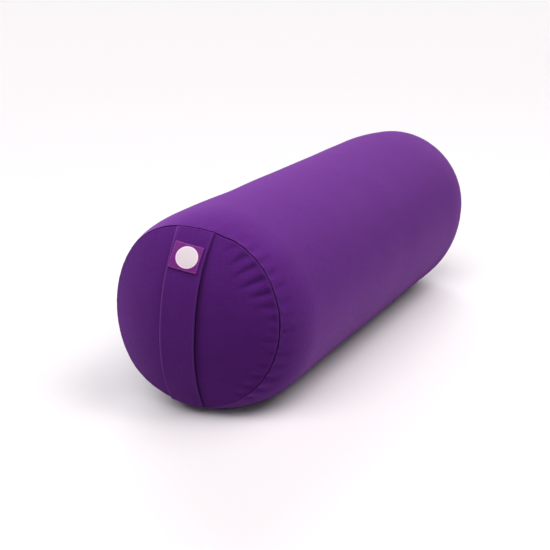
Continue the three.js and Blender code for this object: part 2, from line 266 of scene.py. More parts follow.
NEAR_LAMPS = [
    {"on": "bolster", "side": "right", "azimuth": 80.0, "elevation": 55.0, "watts": 11.3},
    {"on": "bolster", "side": "left", "azimuth": 320.0, "elevation": 60.0, "watts": 16.3},
    {"on": "bolster", "side": "top", "azimuth": 60.0, "elevation": 80.0, "watts": 6.0},
    {"on": "bolster", "side": "back_left", "azimuth": 250.0, "elevation": 70.0, "watts": 5.7},
    {"on": "floor", "side": "right", "azimuth": 80.0, "elevation": 55.0, "watts": 16.9,
     "tint": "#FFF3F6"},
]
ROOM_LIGHT = 0.03
FLOOR_PAPER = "#CDCACC"
FLOOR_HALF = 30.0  # m
FLOOR_DROP = 0.0002  # m, so that it doesn't lie in the pressed underside
WALL_TONE = "#F8F6F8"
WALL_RADIUS = 29.0  # m
WALL_HEIGHT = 12.0  # m
WALL_STEPS = 96

# Mesh fineness
AROUND = 480  # steps round the tube and the panels
LIP_STEPS = 7
TUBE_FIRST_STEP = 0.8  # from the groove to the next ring of the tube
TUBE_PUCKER_STEP = 1.2  # between its rings, as far as the puckers show
TUBE_PUCKER_END = 34.0
TUBE_SHOULDER_STEP = 3.0
TUBE_PAST_SHOULDER = 20.0
TUBE_MIDDLE_RINGS = 26
CROWN_RINGS = 24  # of the tube's crowned ends, under the panels
CROWN_FIRST_RING = 0.04  # share of the radius
PANEL_RINGS = 90
PANEL_FIRST_RING = 0.01
PANEL_SPACING = 0.8  # power that brings the rings closer towards the seam
PANEL_LIP_START = 1.15  # in widths of the groove
THREAD_STEPS = 8  # tries at the length of one of the handle's threads
STRIP_ACROSS = 28
STRIP_EDGE = 6
HANDLE_STEPS = 220
LABEL_STEPS = 44


def hex_colour(code):
    """A web colour, #RRGGBB in sRGB, as linear red, green, blue and an alpha of 1."""
    values = [int(code[i:i + 2], 16) / 255 for i in (1, 3, 5)]
    return [v / 12.92 if v <= 0.04045 else ((v + 0.055) / 1.055) ** 2.4 for v in values] + [1.0]


def add_node(tree, kind, properties=None, inputs=None):
    """Adds one node. properties are its own settings. inputs maps a socket to a value, or to
    another node's output, which is then linked."""
    node = tree.nodes.new(kind)
    for name, value in (properties or {}).items():
        setattr(node, name, value)
    for socket, value in (inputs or {}).items():
        if isinstance(value, bpy.types.NodeSocket):
            tree.links.new(value, node.inputs[socket])
        else:
            node.inputs[socket].default_value = value
    return node


def turn_between(a, b):
    """The smaller turn from angle b to angle a, in degrees."""
    return (a - b + 180.0) % 360.0 - 180.0


def seam_y(end):
    """Where an end's seam lies along Y, at the tube's middle line."""
    return end["facing"] * SEAM_TO_SEAM / 2 + CENTRING


def seam_radius(end, angle):
    """The seam's radius about its own middle: the end's radius, made oval, skewed and three-sided
    by small shares of sines and cosines, less a bell-shaped dip where the handle pulls it and the
    wander of the stitches, on straight lines between its named values."""
    a = np.radians(angle)
    narrowing = SEAM_NARROWING * np.cos(2 * a)
    wave = SEAM_SKEW * np.sin(2 * a) + SEAM_TRIANGLE * np.cos(3 * a) - narrowing
    from_handle = turn_between(angle, 90.0 - HANDLE_LEAN) / HANDLE_PULL_ARC
    pull = HANDLE_PULL * np.exp(-from_handle**2)
    wander = np.interp(turn_between(angle, 0.0), *zip(*WANDER))
    return end["seam"] * (1 + end["uneven"] * wave) - end["uneven"] * (pull + wander)


def seam_lean(end, x, z):
    """How far the leaning seam plane moves a place in the cross-section along Y."""
    return end["lean_side"] * x + end["lean_up"] * z


def trough(distance, half_width, steep_side):
    """A soft trough with low ridges beside it: (1 - 0.5 q squared) times the bell of q, where q is
    the distance over the width of its wall on that side, the steep one or the gentle one."""
    q = distance / half_width / np.where(distance * steep_side > 0, PUCKER_STEEP, PUCKER_GENTLE)
    return (1 - 0.5 * q**2) * np.exp(-(q**2))


def pucker_depth(end, angle, away, side):
    """Depth of the puckers and gathers, at an angle and a distance from the seam. A pucker is a
    trough on a slightly leaning line. It is nothing near the stitches, deepest a fifth of the way
    along its reach, and dies away: the root of the share times the square of (1 - share).
    Gathers are sine waves round the seam, times four times the share times that square."""
    depth = 0.0
    for pucker, (turn, way) in itertools.product(PUCKERS, end["puckered"]):
        reach = pucker["reach"] if side == "panel" else PUCKER_TUBE_REACH
        share = np.clip((away - PUCKER_START) / (reach - PUCKER_START), 0, 1)
        lean = share * (pucker["lean"] if side == "panel" else PUCKER_TUBE_LEAN)
        fade = PUCKER_FADE * np.sqrt(share) * (1 - share) ** 2
        from_line = turn_between(angle, turn + way * (pucker["angle"] + lean))
        steep_side = way if pucker["angle"] > 0 else -way
        depth = depth + pucker[side] * fade * trough(from_line, pucker["half_width"], steep_side)
    depth = depth * end[side]
    share = np.clip(away / GATHER_REACH, 0, 1)
    for gather in GATHERS:
        wave = np.sin(np.radians(gather["waves"] * (angle + gather["start"])))
        depth = depth + gather["depth"] * wave * 4 * share * (1 - share) ** 2
    return depth


def lip_share(away):
    """How far a face has rolled down into the groove: a quarter circle, 1 at the stitches with the
    cloth running straight in, and 0 at the groove's width."""
    t = np.clip(1 - away / GROOVE_WIDTH, 0, 1)
    return 1 - np.sqrt(1 - t**2)


def groove_open(angle):
    """How open the seam's groove is: 1, and less where the weight presses its lips together."""
    closed, opened = PRESSED_ARC
    share = np.clip((np.abs(turn_between(angle, -90.0)) - closed) / (opened - closed), 0, 1)
    return PRESSED_GROOVE + (1 - PRESSED_GROOVE) * share


def seam_fold(away):
    """The panel's fold over the turned-in seam allowance: a bell across it, 1 on its top."""
    return np.exp(-(((away - SEAM_ALLOWANCE_PLACE) / SEAM_ALLOWANCE_WIDTH) ** 2))


def lip_distances():
    """Distances from the stitches that are evenly spaced on the rolled lip."""
    turn = np.radians(np.linspace(0, 90, LIP_STEPS + 1))
    return GROOVE_WIDTH * (1 - np.cos(turn))


def settle(height):
    """Lets the underside settle on the floor: flat below it, and a cubic rounding just above."""
    t = np.clip(height / FLOOR_ROUNDING, 0, 1)
    return np.where(height > FLOOR_ROUNDING, height, FLOOR_ROUNDING * t**2 * (2 - t))


def settled_points(x, y, z):
    """Points of the settled bolster, from places in the round cross-section."""
    x, y, z = np.broadcast_arrays(x, y, settle(AXIS_HEIGHT + SQUASH * z))
    return np.stack([x, y, z], axis=-1)


def filling_lumps(angle, y):
    """Depth of the filling's broad unevenness: a few products of a sine round the tube and one
    along it, less a product of two bells at the fuller place."""
    round_it = turn_between(angle, FULL_PLACE["angle"]) / FULL_PLACE["arc"]
    along_it = (y - FULL_PLACE["y"]) / FULL_PLACE["reach"]
    lump = -FULL_PLACE["height"] * np.exp(-(round_it**2) - along_it**2)
    for wave in LUMPS:
        around = np.sin(np.radians(wave["round"] * angle) + wave["phase"][0])
        along = np.sin(2 * np.pi * y / wave["along"] + wave["phase"][1])
        lump = lump + wave["depth"] * around * along
    return lump


def flank_bulge(angle):
    """How far the filling is pushed out low on both sides: a bell round the tube on each."""
    from_flank = (np.abs(turn_between(angle, -90.0)) - FLANK_PLACE) / FLANK_ARC
    return FLANK_BULGE * np.exp(-(from_flank**2))


def tube_points(end, angle, away):
    """The tube's side, a distance away from an end's seam. Its radius goes from the seam's to the
    tube's as (1 - away / shoulder) to a power, less the rolled lip, the puckers and the filling's
    unevenness, which sets in over the shoulder by the square of the distance."""
    a = np.radians(angle)
    drawn_in = np.clip(1 - away / end["shoulder"], 0, 1) ** SHOULDER_POWER
    seam = seam_radius(end, angle)
    lip = lip_share(away)
    groove = lip * GROOVE_DEPTH * groove_open(angle)
    sink = groove + pucker_depth(end, angle, away, "tube")
    lean = seam_lean(end, seam * np.cos(a), seam * np.sin(a) + end["rise"])
    lean = lean * np.clip(1 - away / LEAN_FADE, 0, 1)
    y = seam_y(end) + lean - end["facing"] * (away + groove + lip * EDGE_GAP)
    lump = filling_lumps(angle, y) * np.clip(away / end["shoulder"], 0, 1) ** 2
    full = RADIUS + flank_bulge(angle)
    radius = full * (1 - drawn_in) + seam * drawn_in - sink - lump
    return settled_points(radius * np.cos(a), y, radius * np.sin(a) + end["rise"] * drawn_in)


def panel_points(end, angle, share, depth):
    """A panel's outer face, sunk by a depth at right angles to it. share runs from 0 at the middle
    of the crown to 1 at the seam, and both the crown's fall and its slope are share to a power. A
    low ridge beside the lip is the cloth going over the turned-in seam allowance."""
    a = np.radians(angle)
    seam = seam_radius(end, angle)
    away = (1 - share) * seam
    lip = lip_share(away) * GROOVE_DEPTH * groove_open(angle)
    ridge = SEAM_ALLOWANCE_RIDGE * seam_fold(away)
    sink = depth + pucker_depth(end, angle, away, "panel") - ridge
    slope = math.radians(CROWN_RIM_SLOPE) * share**CROWN_SLOPE_POWER
    radius = share * seam - lip - sink * np.sin(slope)
    crown = end["crown"] * (1 - share**CROWN_POWER)
    x = radius * np.cos(a)
    z = radius * np.sin(a) + end["rise"]
    y = seam_y(end) + seam_lean(end, x, z) + end["facing"] * (crown - lip - sink * np.cos(slope))
    return settled_points(x, y, z)


def beside_handle(sideways, up):
    """Angle and radius in the seam's plane, from a place sideways of the leaning handle and up
    along it."""
    c, s = math.cos(math.radians(HANDLE_LEAN)), math.sin(math.radians(HANDLE_LEAN))
    x = sideways * c + up * s
    z = up * c - sideways * s
    return np.degrees(np.arctan2(z, x)), np.hypot(x, z)


def thread_length(sideways, direction):
    """How far the handle's thread at one place sideways runs from the seam's middle to the uneven
    seam, upwards or downwards, found by stepping to the seam's radius there."""
    length = np.full(np.broadcast(sideways, direction).shape, HANDLE_END["seam"])
    for _ in range(THREAD_STEPS):
        angle, radius = beside_handle(sideways, direction * length)
        length = length + seam_radius(HANDLE_END, angle) - radius
    return length


def handle_points(across, along, raised):
    """Points on the handle: across in mm from its middle line, along from -1 at the bottom seam to
    1 at the top one, raised over its underside. It hugs the panel at the seam and stands off it,
    straighter across, by 1 - along squared towards the middle."""

    def on_panel(sideways):
        up = along * thread_length(sideways, np.where(along < 0, -1.0, 1.0))
        angle, radius = beside_handle(sideways, up)
        return angle, np.clip(radius / seam_radius(HANDLE_END, angle), 0, 1)

    angle, share = on_panel(across + HANDLE_ASIDE)
    _, middle_share = on_panel(np.zeros_like(across) + HANDLE_ASIDE)
    fall_away = HANDLE_END["crown"] * np.maximum(share**CROWN_POWER - middle_share**CROWN_POWER, 0)
    clear = GAP + (1 - along**2) * (HANDLE_STAND_OFF + HANDLE_STIFFNESS * fall_away)
    from_seam = (1 - np.abs(along)) * HANDLE_END["seam"]
    pressed = HANDLE_PRESSED * np.clip(1 - from_seam / HANDLE_PRESSED_REACH, 0, 1) ** 2
    return panel_points(HANDLE_END, angle, share, -(clear + raised * (1 - pressed)))


def beside_edge(across, width, reach):
    """1 at both edges of a strip, falling as a bell towards its middle."""
    return np.exp(-(((width / 2 - np.abs(across)) / reach) ** 2))


def strip_outline(width, thickness, across_steps):
    """A flat strip's cross-section as (across, raised), once round: the underside, a half circle
    round one edge, the top and a half circle round the other. Steps follow a sine across it, so
    that they are closer at the edges."""
    flat = np.sin(np.linspace(-1, 1, across_steps + 1) * np.pi / 2) * (width - thickness) / 2
    turn = np.radians(np.linspace(-90, 90, STRIP_EDGE + 1))[1:-1]
    edge_across = (width - thickness) / 2 + np.cos(turn) * thickness / 2
    edge_raised = (1 + np.sin(turn)) * thickness / 2
    across = np.concatenate([flat, edge_across, flat[::-1], -edge_across[::-1]])
    raised = np.concatenate([
        np.zeros_like(flat), edge_raised, np.full_like(flat, thickness), edge_raised[::-1],
    ])
    return across, raised


def quads_between(rows, columns, row_length):
    """Quads between rows of points, each as four numbers in a list where a row's points stand
    row_length apart. A row with no more points than columns closes on its first one."""
    i, j = [m.ravel() for m in np.meshgrid(np.arange(rows - 1), np.arange(columns), indexing="ij")]
    k = (j + 1) % row_length
    start, following = i * row_length, (i + 1) * row_length
    return np.stack([start + j, start + k, following + k, following + j], axis=1)


def skin(name, rings, flat_map, poles, shades):
    """A closed mesh through rings of points, from one pole to another. rings has the shape
    (rings, points round, 3). flat_map gives each point its place on the flat cloth in mm, with one
    more point round, so that the pattern runs on across the join. shades are attributes from 0 to
    1 that paint light into the colour: one is 1 where no light gets in and the colour is darkened
    as painted shade, the other is 1 where a fold is lightened as a painted highlight."""
    rows, columns, _ = rings.shape
    wide = columns + 1
    quads = quads_between(rows, columns, columns)
    quad_map = quads_between(rows, columns, wide)
    k = np.arange(columns)
    last = (rows - 1) * columns
    start_pole = np.full(columns, rows * columns)
    fans = np.concatenate([
        np.stack([start_pole, (k + 1) % columns, k], axis=1),
        np.stack([start_pole + 1, last + k, last + (k + 1) % columns], axis=1),
    ])
    last_map = (rows - 1) * wide
    start_map = np.full(columns, rows * wide)
    fan_map = np.concatenate([
        np.stack([start_map, k + 1, k], axis=1),
        np.stack([start_map + 1, last_map + k, last_map + k + 1], axis=1),
    ])
    points = np.concatenate([rings.reshape(-1, 3), np.asarray(poles, float)])
    places = np.concatenate([flat_map.reshape(-1, 2), flat_map[[0, -1]].mean(axis=1)])
    triangles = np.concatenate([quads[:, [0, 1, 2]], quads[:, [0, 2, 3]], fans])
    a, b, c = (points[triangles[:, n]] for n in range(3))
    if (a * np.cross(b, c)).sum() < 0:
        quads, quad_map = quads[:, ::-1], quad_map[:, ::-1]
        fans, fan_map = fans[:, ::-1], fan_map[:, ::-1]
    mesh = bpy.data.meshes.new(name)
    mesh.from_pydata((points * MM).tolist(), [], quads.tolist() + fans.tolist())
    layer = mesh.uv_layers.new(name="flat_cloth")
    corners = np.concatenate([quad_map.ravel(), fan_map.ravel()])
    layer.data.foreach_set("uv", places[corners].astype(np.float32).ravel())
    for shade_name, shade in shades.items():
        shade = np.broadcast_to(shade, rings.shape[:2])
        values = np.concatenate([shade.ravel(), shade[[0, -1]].mean(axis=1)]).astype(np.float32)
        mesh.attributes.new(shade_name, "FLOAT", "POINT").data.foreach_set("value", values)
    mesh.shade_smooth()
    mesh.validate()
    piece = bpy.data.objects.new(name, mesh)
    bpy.context.scene.collection.objects.link(piece)
    return piece


def tube_distances(end):
    """Distances from a seam to the tube's middle: fine on the lip and the puckers, then coarser."""
    shoulder_end = end["shoulder"] + TUBE_PAST_SHOULDER
    return np.concatenate([
        lip_distances(),
        np.arange(GROOVE_WIDTH + TUBE_FIRST_STEP, TUBE_PUCKER_END, TUBE_PUCKER_STEP),
        np.arange(TUBE_PUCKER_END, shoulder_end, TUBE_SHOULDER_STEP),
        np.linspace(shoulder_end + 1, SEAM_TO_SEAM / 2, TUBE_MIDDLE_RINGS),
    ])


def seam_shade(angle, away):
    """Painted shade between the lips: as much as the groove is open at the stitches, on a straight
    line down to 0 at the crease's width."""
    return groove_open(angle) * np.clip(1 - away / CREASE_WIDTH, 0, 1)


def filled_cover():
    """The tube with its filling: both halves of it and, under the panels, its crowned ends."""
    angle = np.linspace(0, 360, AROUND, endpoint=False)[None, :]
    halves, maps, painted_shades = [], [], []
    for end in (HANDLE_END, PLAIN_END):
        share = np.linspace(CROWN_FIRST_RING, 1, CROWN_RINGS)[:, None]
        under = panel_points(end, angle, share, PANEL_CLOTH + GAP)
        inward = EDGE_GAP * lip_share((1 - share) * seam_radius(end, angle))
        under[..., 1] -= end["facing"] * inward
        away = tube_distances(end)
        side = tube_points(end, angle, away[:, None])
        along = np.concatenate([np.zeros(len(share)), away])
        # painted shade in the seam's groove
        painted_shade = seam_shade(angle, along[:, None])
        half = [np.concatenate([under, side]), end["facing"] * (SEAM_TO_SEAM / 2 - along), painted_shade]
        if end is PLAIN_END:
            half = [part[::-1][1:] for part in half]
        halves.append(half[0])
        maps.append(half[1])
        painted_shades.append(half[2])
    rings = np.concatenate(halves)
    across = np.linspace(0, 2 * np.pi * RADIUS, AROUND + 1)
    down = np.concatenate(maps)
    flat_map = np.stack(np.broadcast_arrays(across[None, :], down[:, None]), axis=-1)
    poles = [panel_points(end, 0.0, 0.0, PANEL_CLOTH + GAP) for end in (HANDLE_END, PLAIN_END)]
    return skin("cover_tube", rings, flat_map, poles, {"painted_shade": np.concatenate(painted_shades)})


def under_handle(angle, radius):
    """Painted shade under the handle: 1 where it hides the panel's face and no light gets in, with
    a soft edge.
    """
    a, lean = np.radians(angle), math.radians(HANDLE_LEAN)
    across = radius * (np.cos(a) * math.cos(lean) - np.sin(a) * math.sin(lean)) - HANDLE_ASIDE
    return np.clip((HANDLE_WIDTH / 2 - np.abs(across)) / HANDLE_SHADE, 0, 1)


def painted_seam_highlight(angle, away):
    """Painted highlight: 1 on the fold over the seam allowance where it is lightened, between two
    angles, with soft ends."""
    low, high = SEAM_HIGHLIGHT_REACH
    begun = np.clip((angle - low) / SEAM_HIGHLIGHT_FADE, 0, 1)
    left = np.clip((high - angle) / SEAM_HIGHLIGHT_FADE, 0, 1)
    return begun * left * seam_fold(away)


def end_panel(name, end):
    """An end panel: one thickness of cloth over the crowned end, rolled into the groove."""
    angle = np.linspace(0, 360, AROUND, endpoint=False)[None, :]
    seam = seam_radius(end, angle)
    inner = np.linspace(PANEL_FIRST_RING, 1, PANEL_RINGS)[:, None] ** PANEL_SPACING
    flat_part = inner * (1 - GROOVE_WIDTH * PANEL_LIP_START / seam)
    lip_part = 1 - lip_distances()[::-1][:, None] / seam
    share = np.concatenate([flat_part, lip_part])
    outer = panel_points(end, angle, share, 0.0)
    under = panel_points(end, angle, share[::-1], PANEL_CLOTH)
    a = np.radians(np.linspace(0, 360, AROUND + 1))
    wide = np.concatenate([share, share[:, :1]], axis=1) * (PANEL_CUT / 2)
    flat_outer = np.stack([wide * np.cos(a), wide * np.sin(a)], axis=-1)
    away = (1 - share) * seam
    painted_shade = seam_shade(angle, away)
    # painted shade under the handle as well
    if end is HANDLE_END:
        painted_shade = np.maximum(painted_shade, under_handle(angle, share * seam))
    # painted highlight: lightens the colour on the fold over the seam allowance
    painted_highlight = SEAM_PAINTED_HIGHLIGHT * end["uneven"] * painted_seam_highlight(turn_between(angle, 0.0), away)
    shades = {"painted_shade": np.concatenate([painted_shade, painted_shade[::-1]]),
              "painted_highlight": np.concatenate([painted_highlight, painted_highlight[::-1]])}
    poles = [panel_points(end, 0.0, 0.0, 0.0), panel_points(end, 0.0, 0.0, PANEL_CLOTH)]
    flat_map = np.concatenate([flat_outer, flat_outer[::-1]])
    return skin(name, np.concatenate([outer, under]), flat_map, poles, shades)


def strip_skin(name, sections, across, down, shades):
    """A flat strip through its cross-sections, closed at both ends, with its pattern running
    straight along it."""
    flat_map = np.stack(np.broadcast_arrays(
        np.append(across, across[0])[None, :], down[:, None]), axis=-1)
    return skin(name, sections, flat_map, sections[[0, -1]].mean(axis=1), shades)


def carry_handle():
    """The handle: its cross-section carried from the bottom seam to the top one, with steps that
    follow a sine so that they are closer at the seams. Its folded edges are a little thicker, as a
    bell, and their tops are lightened with a painted highlight, the left one more. Its underside
    and the lower half of its edges get no light and are darkened with painted shade."""
    across, raised = strip_outline(HANDLE_WIDTH, HANDLE_CLOTH, STRIP_ACROSS)
    top = raised / HANDLE_CLOTH
    fold = beside_edge(across, HANDLE_WIDTH, HANDLE_FOLD_WIDTH)
    along = HANDLE_REACH * np.sin((np.linspace(0, 1, HANDLE_STEPS + 1) - 0.5) * np.pi)
    thick = raised + HANDLE_FOLD_RISE * top * fold
    near_top = np.clip((along - HANDLE_SPREAD_START) / (1 - HANDLE_SPREAD_START), 0, 1)
    spread = across[None, :] * (1 + HANDLE_SPREAD * near_top[:, None] ** 2)
    sections = handle_points(spread, along[:, None], thick[None, :])
    # painted highlight on the tops of the folds, stronger on the left, and painted shade below them
    highlight_strength = np.where(across < 0, HANDLE_HIGHLIGHT_LEFT, HANDLE_HIGHLIGHT_RIGHT)
    lit = (top - HANDLE_LIT_FROM) / (1 - HANDLE_LIT_FROM)
    shades = {"painted_shade": np.clip(-lit, 0, 1), "painted_highlight": highlight_strength * fold * np.clip(lit, 0, 1)}
    return strip_skin("handle_strip", sections, across, along * HANDLE_LENGTH / 2, shades)


def on_label(across, up, raised):
    """Points on the label, from mm across and up on its flat face, turned a little on the handle.
    The way up is scaled so that its height is kept on the handle's slope."""
    c, s = math.cos(math.radians(LABEL_TURN)), math.sin(math.radians(LABEL_TURN))
    half = np.array([-0.5, 0.5]) * LABEL_HEIGHT
    bottom, top = label_base(np.zeros(2), LABEL_UP + half, np.zeros(2))
    slope = LABEL_HEIGHT / np.linalg.norm(top - bottom)
    sideways = LABEL_ASIDE + across * c - up * s
    return label_base(sideways, LABEL_UP + (across * s + up * c) * slope, raised)


def label_base(across, up, raised):
    """Points over the handle's outer face, from mm across it and up it."""
    length = thread_length(across + HANDLE_ASIDE, 1.0)
    return handle_points(across, up / length, HANDLE_CLOTH + GAP + raised)


def label_patch():
    """The label: a thin patch on the handle's face."""
    across, raised = strip_outline(LABEL_WIDTH, LABEL_CLOTH, STRIP_ACROSS)
    up = np.linspace(-0.5, 0.5, LABEL_STEPS + 1) * LABEL_HEIGHT
    sections = on_label(across[None, :], up[:, None], raised[None, :])
    return strip_skin("label_patch", sections, across, up, {})


def stitch_places():
    """Where the label's stitches lie on its face: the middle of each and the way it runs, round an
    oblong that is a little smaller than the label. Each side has a whole number of stitches."""
    corner = np.array([LABEL_WIDTH / 2 - STITCH_INSET, LABEL_HEIGHT / 2 - STITCH_INSET])
    places = []
    for side in range(4):
        way = np.array([(1, 0), (0, 1), (-1, 0), (0, -1)][side], float)
        out = np.array([way[1], -way[0]])
        length = 2 * abs(way @ corner)
        count = int(length / STITCH_PITCH)
        steps = (np.arange(count) + 0.5) / count - 0.5
        middles = out * abs(out @ corner) + steps[:, None] * length * way
        places.append(np.concatenate([middles, np.broadcast_to(way, middles.shape)], axis=1))
    return np.concatenate(places)


def label_stitches():
    """All stitches of the label as one mesh. Each is a spindle of thread: a circle carried along a
    straight line on the label's face, with a half circle's height as its radius. It arches a
    little out of the cloth, and dips into it at both ends by the fourth power of the way there."""
    places = stitch_places()
    s = np.linspace(-1, 1, STITCH_ALONG)
    turn = np.radians(np.arange(STITCH_ROUND) * 360 / STITCH_ROUND)
    radius = STITCH_THREAD / 2 * np.sqrt(np.clip(1 + STITCH_TIP - s**2, 0, 1))
    arch = LABEL_CLOTH + STITCH_THREAD * (STITCH_ARCH - STITCH_DIP * s**4)
    middle, way = places[:, None, None, :2], places[:, None, None, 2:]
    out = np.stack([way[..., 1], -way[..., 0]], axis=-1)
    sideways = (radius[:, None] * np.cos(turn))[None, ..., None]
    flat = middle + way * (s * STITCH_LENGTH / 2)[None, :, None, None] + out * sideways
    raised = (arch[:, None] + radius[:, None] * np.sin(turn))[None]
    points = on_label(flat[..., 0], flat[..., 1], np.broadcast_to(raised, flat.shape[:3]))
    per_stitch = STITCH_ALONG * STITCH_ROUND
    quads = quads_between(STITCH_ALONG, STITCH_ROUND, STITCH_ROUND)
    first_cap = np.arange(STITCH_ROUND)[::-1]
    last_cap = per_stitch - STITCH_ROUND + np.arange(STITCH_ROUND)
    faces = []
    for start in np.arange(len(places)) * per_stitch:
        faces += (quads + start).tolist()
        faces += [(first_cap + start).tolist(), (last_cap + start).tolist()]
    mesh = bpy.data.meshes.new("label_stitches")
    mesh.from_pydata((points.reshape(-1, 3) * MM).tolist(), [], faces)
    mesh.validate()
    shaped = bmesh.new()
    shaped.from_mesh(mesh)
    bmesh.ops.recalc_face_normals(shaped, faces=shaped.faces)
    shaped.to_mesh(mesh)
    shaped.free()
    mesh.shade_smooth()
    piece = bpy.data.objects.new("label_stitches", mesh)
    bpy.context.scene.collection.objects.link(piece)
    return piece


def new_material(name):
    """An empty node material."""
    material = bpy.data.materials.new(name)
    material.use_nodes = True
    material.node_tree.nodes.clear()
    return material, material.node_tree


def knuckles(tree, place, pitch):
    """Height of a plain weave over the flat cloth: the product of two sines, one per thread
    direction, taken without its sign, is a rounded knuckle at each crossing of the threads."""
    across = add_node(tree, "ShaderNodeSeparateXYZ", None, {0: place})
    waves = []
    for socket in ("X", "Y"):
        turn = add_node(tree, "ShaderNodeMath", {"operation": "MULTIPLY"}, {
            0: across.outputs[socket], 1: math.pi / pitch})
        waves.append(add_node(tree, "ShaderNodeMath", {"operation": "SINE"}, {0: turn.outputs[0]}))
    product = add_node(tree, "ShaderNodeMath", {"operation": "MULTIPLY"}, {
        0: waves[0].outputs[0], 1: waves[1].outputs[0]})
    height = add_node(tree, "ShaderNodeMath", {"operation": "ABSOLUTE"}, {0: product.outputs[0]})
    return height.outputs[0]


def streaks(tree, place, length, width, detail):
    """Uneven threads: noise over the flat cloth, drawn out to a length and a width in mm."""
    drawn = add_node(tree, "ShaderNodeMapping", {"vector_type": "POINT"}, {
        "Vector": place, "Scale": (1 / length, 1 / width, 1.0)})
    noise = add_node(tree, "ShaderNodeTexNoise", {"noise_dimensions": "2D"}, {
        "Vector": drawn.outputs[0], "Scale": 1.0, "Detail": detail, "Roughness": 0.5})
    return noise.outputs["Fac"]


def weighted_sum(tree, parts):
    """Adds up values, each times its weight."""
    total = 0.0
    for value, weight in parts:
        total = add_node(tree, "ShaderNodeMath", {"operation": "MULTIPLY_ADD"}, {
            0: value, 1: weight, 2: total}).outputs[0]
    return total


def cotton_canvas():
    """Cotton canvas, piece-dyed purple and plain woven from uneven spun yarn. It has no gloss to
    speak of: the yarn's fuzz gives it a lilac bloom at a glancing angle, thicker places in the
    yarn show as faint short streaks both ways, and the dye takes a little unevenly. Its colour
    also holds painted light: painted shade where no light gets in, and a painted highlight on
    folds."""
    material, tree = new_material("purple_cotton_canvas_plain_woven")
    place = add_node(tree, "ShaderNodeUVMap", {"uv_map": "flat_cloth"}).outputs["UV"]
    weave = knuckles(tree, place, CANVAS_PITCH)
    weft = streaks(tree, place, SLUB_LENGTH, SLUB_WIDTH, 2.0)
    warp = streaks(tree, place, SLUB_WIDTH, SLUB_LENGTH, 2.0)
    dye = streaks(tree, place, DYE_PATCH, DYE_PATCH, 3.0)
    tone = weighted_sum(tree, [(weft, 0.36), (warp, 0.36), (dye, 0.28)])
    ground = add_node(tree, "ShaderNodeMapRange", None, {
        "Value": tone, "From Min": 0.35, "From Max": 0.65, "To Min": 0.0, "To Max": 1.0})
    cloth = add_node(tree, "ShaderNodeMix", {"data_type": "RGBA"}, {
        "Factor": ground.outputs[0], 6: hex_colour(CANVAS_DARK), 7: hex_colour(CANVAS_LIGHT)})
    # painted highlight: lightens the colour on folds
    painted_highlight = add_node(tree, "ShaderNodeAttribute", {"attribute_name": "painted_highlight"})
    highlighted = add_node(tree, "ShaderNodeMix", {"data_type": "RGBA"}, {
        "Factor": painted_highlight.outputs["Fac"], 6: cloth.outputs[2], 7: hex_colour(CANVAS_PAINTED_HIGHLIGHT)})
    # painted shade: darkens the colour where no light gets in
    painted_shade = add_node(tree, "ShaderNodeAttribute", {"attribute_name": "painted_shade"})
    colour = add_node(tree, "ShaderNodeMix", {"data_type": "RGBA"}, {
        "Factor": painted_shade.outputs["Fac"], 6: highlighted.outputs[2], 7: hex_colour(SEAM_SHADE)})
    height = weighted_sum(tree, [(weave, 0.3), (weft, 0.35), (warp, 0.35)])
    bump = add_node(tree, "ShaderNodeBump", None, {
        "Strength": 0.6, "Distance": CANVAS_RELIEF * MM, "Height": height})
    bsdf = add_node(tree, "ShaderNodeBsdfPrincipled", None, {
        "Base Color": colour.outputs[2],
        "Roughness": 0.9,
        "Specular IOR Level": 0.0,
        "Sheen Weight": 0.2,
        "Sheen Roughness": 0.5,
        "Sheen Tint": hex_colour(CANVAS_BLOOM),
        "Normal": bump.outputs[0],
    })
    add_node(tree, "ShaderNodeOutputMaterial", None, {"Surface": bsdf.outputs[0]})
    return material


